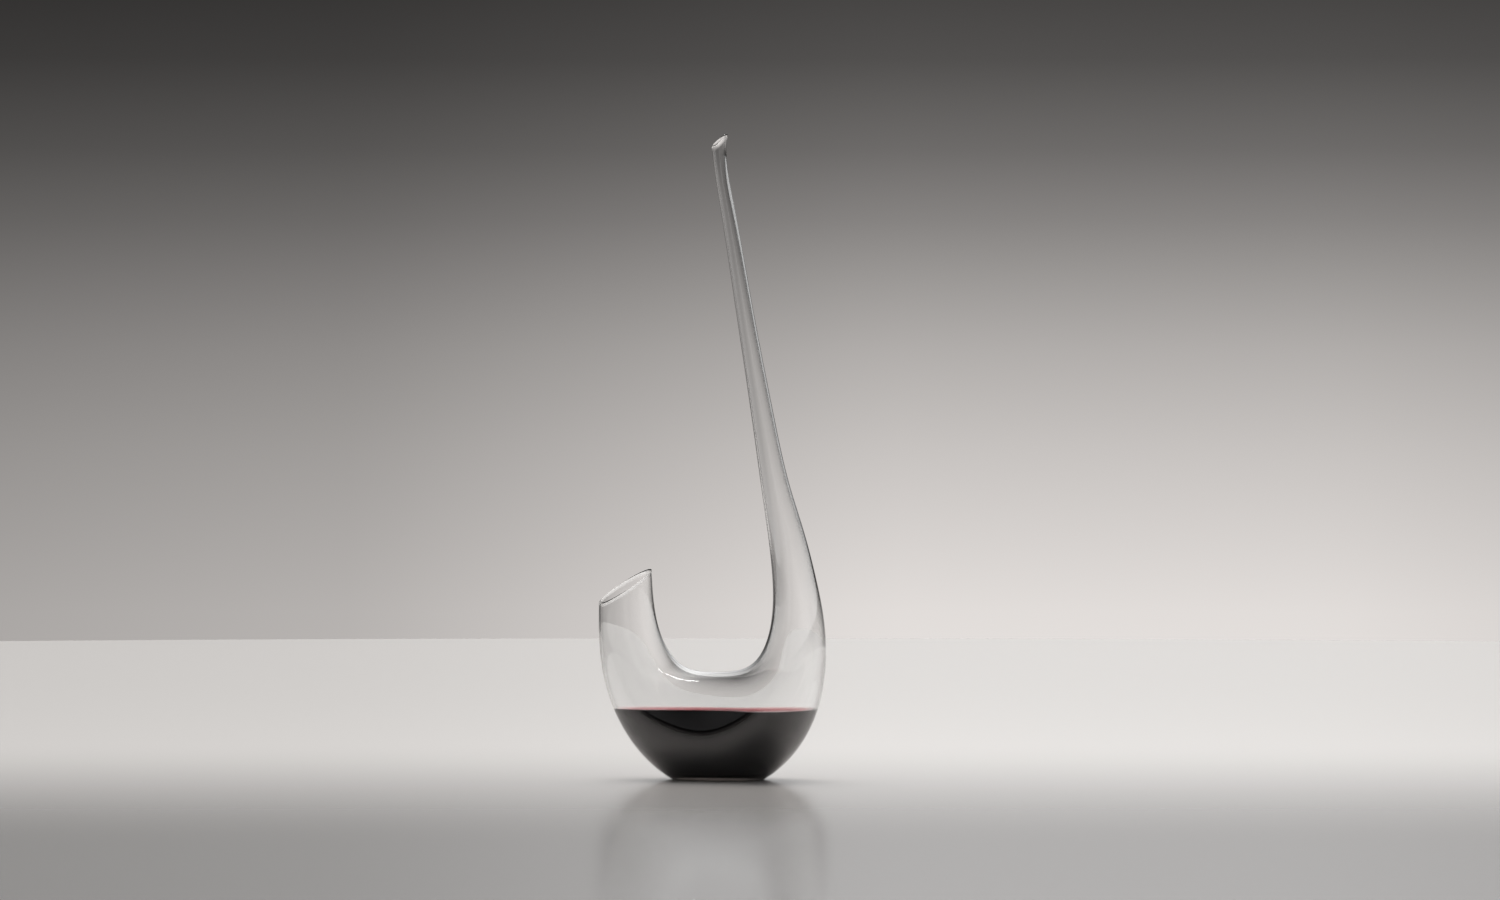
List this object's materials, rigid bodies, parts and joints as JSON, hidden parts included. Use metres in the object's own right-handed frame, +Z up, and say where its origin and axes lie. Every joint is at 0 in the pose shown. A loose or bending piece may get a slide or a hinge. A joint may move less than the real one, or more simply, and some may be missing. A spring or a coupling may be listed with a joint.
{
  "type": "wine decanter",
  "caption": "Mouth-blown U-shaped glass decanter with a wide slanted fill spout, a flattened foot and a tall tapering pouring neck, holding still red wine.",
  "frame": {"origin": "centre of the flat that the decanter stands on", "axes": "+Z up, +X from the fill spout towards the pouring neck, +Y across the bowl"},
  "size_m": [0.2159, 0.1172, 0.6004],
  "materials": {
    "crystal": "clear, fire-polished, mouth-blown",
    "wine": "still dark red liquid"
  },
  "bodies": {
    "root": {"base": "crystal", "bowl_lower": "crystal", "bowl_upper": "crystal", "spout_shoulder": "crystal", "saddle": "crystal", "neck_shoulder": "crystal", "fill_spout": "crystal", "fill_rim": "crystal", "neck_cone": "crystal", "neck_lower": "crystal", "neck_upper": "crystal", "pour_lip": "crystal", "wine": "wine"}
  },
  "joints": []
}
